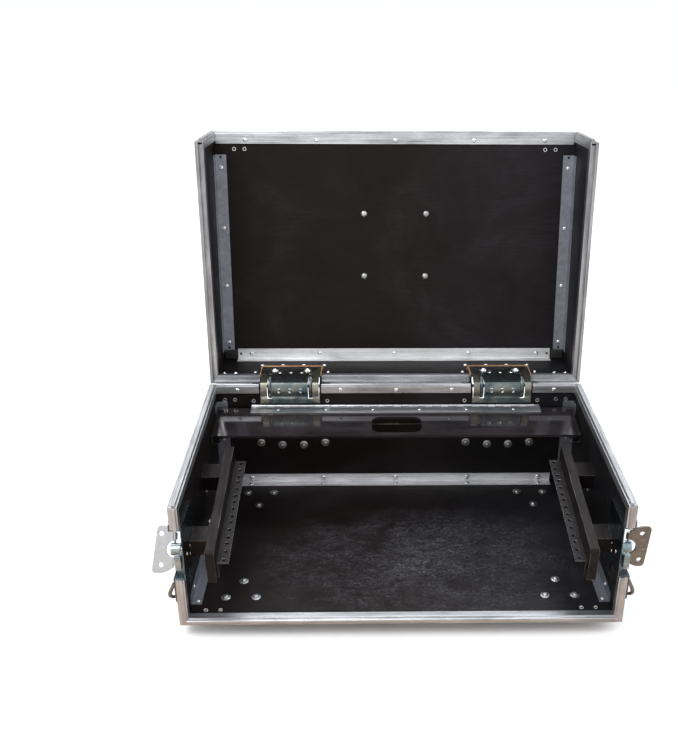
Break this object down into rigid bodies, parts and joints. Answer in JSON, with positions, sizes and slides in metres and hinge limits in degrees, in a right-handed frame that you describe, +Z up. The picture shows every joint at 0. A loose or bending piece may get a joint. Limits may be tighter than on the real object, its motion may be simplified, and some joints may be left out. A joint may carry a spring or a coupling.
{
  "type": "equipment rack case",
  "caption": "Shallow slant-top rack case with a wedge-shaped lid open on stay hinges, open front, sloping rack rails, a hinged cable flap and butterfly latches.",
  "frame": {"origin": "on the surface it stands on, under the middle of the box round the case with its lid open", "axes": "+X to the case's right seen from the open front, -Y out of the open front, +Z up"},
  "size_m": [0.6554, 0.5529, 0.5736],
  "materials": {
    "plywood": "dark brown-black film-faced birch plywood, satin, lightly scuffed",
    "painted_wood": "black painted plywood with rubbed edges",
    "gloss_board": "glossy black laminate board, reflective",
    "aluminium": "mill finish extruded aluminium with fine drawn lines",
    "zinc": "zinc plated steel, blue and straw passivation",
    "dark_steel": "dark grey powder coated steel, slightly purple",
    "rubber": "black rubber"
  },
  "bodies": {
    "base": {"base_floor": "plywood", "base_wall_right": "plywood", "base_wall_left": "plywood", "base_wall_rear": "plywood", "rail_batten_right": "painted_wood", "rail_batten_left": "painted_wood", "flap_support_rear": "painted_wood", "flap_cleat_right": "painted_wood", "flap_cleat_left": "painted_wood", "base_sill_rim": "aluminium", "base_rim_right": "aluminium", "base_rim_left": "aluminium", "base_lower_rim_right": "aluminium", "base_lower_rim_left": "aluminium", "base_rear_rim_left": "aluminium", "base_rear_rim_mid": "aluminium", "base_rear_rim_right": "aluminium", "base_edge_angles": "aluminium", "floor_angle_right": "aluminium", "floor_angle_left": "aluminium", "floor_angle_rear": "aluminium", "corner_angle_right": "aluminium", "corner_angle_left": "aluminium", "flap_hinge_fixed": "aluminium", "hinge_dish_right": "zinc", "hinge_dish_left": "zinc", "latch_dish_right": "zinc", "latch_dish_left": "zinc", "rack_rail_right": "dark_steel", "rack_rail_left": "dark_steel", "foot_front_left": "rubber", "foot_front_right": "rubber", "foot_rear_left": "rubber", "foot_rear_right": "rubber"},
    "lid": {"lid_panel": "plywood", "lid_wall_right": "plywood", "lid_wall_left": "plywood", "lid_wall_rear": "plywood", "lid_rim_right": "aluminium", "lid_rim_left": "aluminium", "lid_front_rim": "aluminium", "lid_rear_rim_left": "aluminium", "lid_rear_rim_mid": "aluminium", "lid_rear_rim_right": "aluminium", "lid_edge_angles": "aluminium", "lid_angle_right": "aluminium", "lid_angle_left": "aluminium", "lid_angle_rear": "aluminium", "lid_hinge_dish_right": "zinc", "lid_hinge_dish_left": "zinc"},
    "flap": {"cable_flap": "gloss_board", "flap_hinge_leaf": "aluminium"},
    "latch_turn_right": {"latch_spindle_right": "zinc"},
    "latch_wing_right": {"latch_wing_right": "zinc"},
    "latch_hook_right": {"latch_hook_right": "zinc"},
    "latch_turn_left": {"latch_spindle_left": "zinc"},
    "latch_wing_left": {"latch_wing_left": "zinc"},
    "latch_hook_left": {"latch_hook_left": "zinc"}
  },
  "joints": [
    {"name": "lid_hinge", "type": "hinge", "parent": "base", "child": "lid", "pos_m": [0, 0.1035, 0.198], "axis": [-1, 0, 0], "range_deg": [-95, 0]},
    {"name": "flap_hinge", "type": "hinge", "parent": "base", "child": "flap", "pos_m": [0, 0.0882, 0.1706], "axis": [-1, 0, 0], "range_deg": [0, 60]},
    {"name": "latch_turn_right", "type": "hinge", "parent": "base", "child": "latch_turn_right", "pos_m": [0.292, -0.235, 0.118], "axis": [1, 0, 0], "range_deg": [-180, 0]},
    {"name": "latch_turn_left", "type": "hinge", "parent": "base", "child": "latch_turn_left", "pos_m": [-0.292, -0.235, 0.118], "axis": [1, 0, 0], "range_deg": [-147, 33]},
    {"name": "wing_fold_right", "type": "hinge", "parent": "latch_turn_right", "child": "latch_wing_right", "pos_m": [0.2983, -0.235, 0.118], "axis": [0, 0, 1], "range_deg": [0, 90]},
    {"name": "wing_fold_left", "type": "hinge", "parent": "latch_turn_left", "child": "latch_wing_left", "pos_m": [-0.2983, -0.235, 0.118], "axis": [0, -0.5446, -0.8387], "range_deg": [0, 90]},
    {"name": "hook_slide_right", "type": "slide", "parent": "base", "child": "latch_hook_right", "axis": [0, -1, 0], "range_m": [-0.012, 0]},
    {"name": "hook_slide_left", "type": "slide", "parent": "base", "child": "latch_hook_left", "axis": [0, -1, 0], "range_m": [-0.00981, 0.00221]}
  ],
  "couplings": [
    {"joint": "hook_slide_right", "follows": "latch_turn_right", "m_per_rad": 0.003819},
    {"joint": "hook_slide_left", "follows": "latch_turn_left", "m_per_rad": 0.003819}
  ]
}
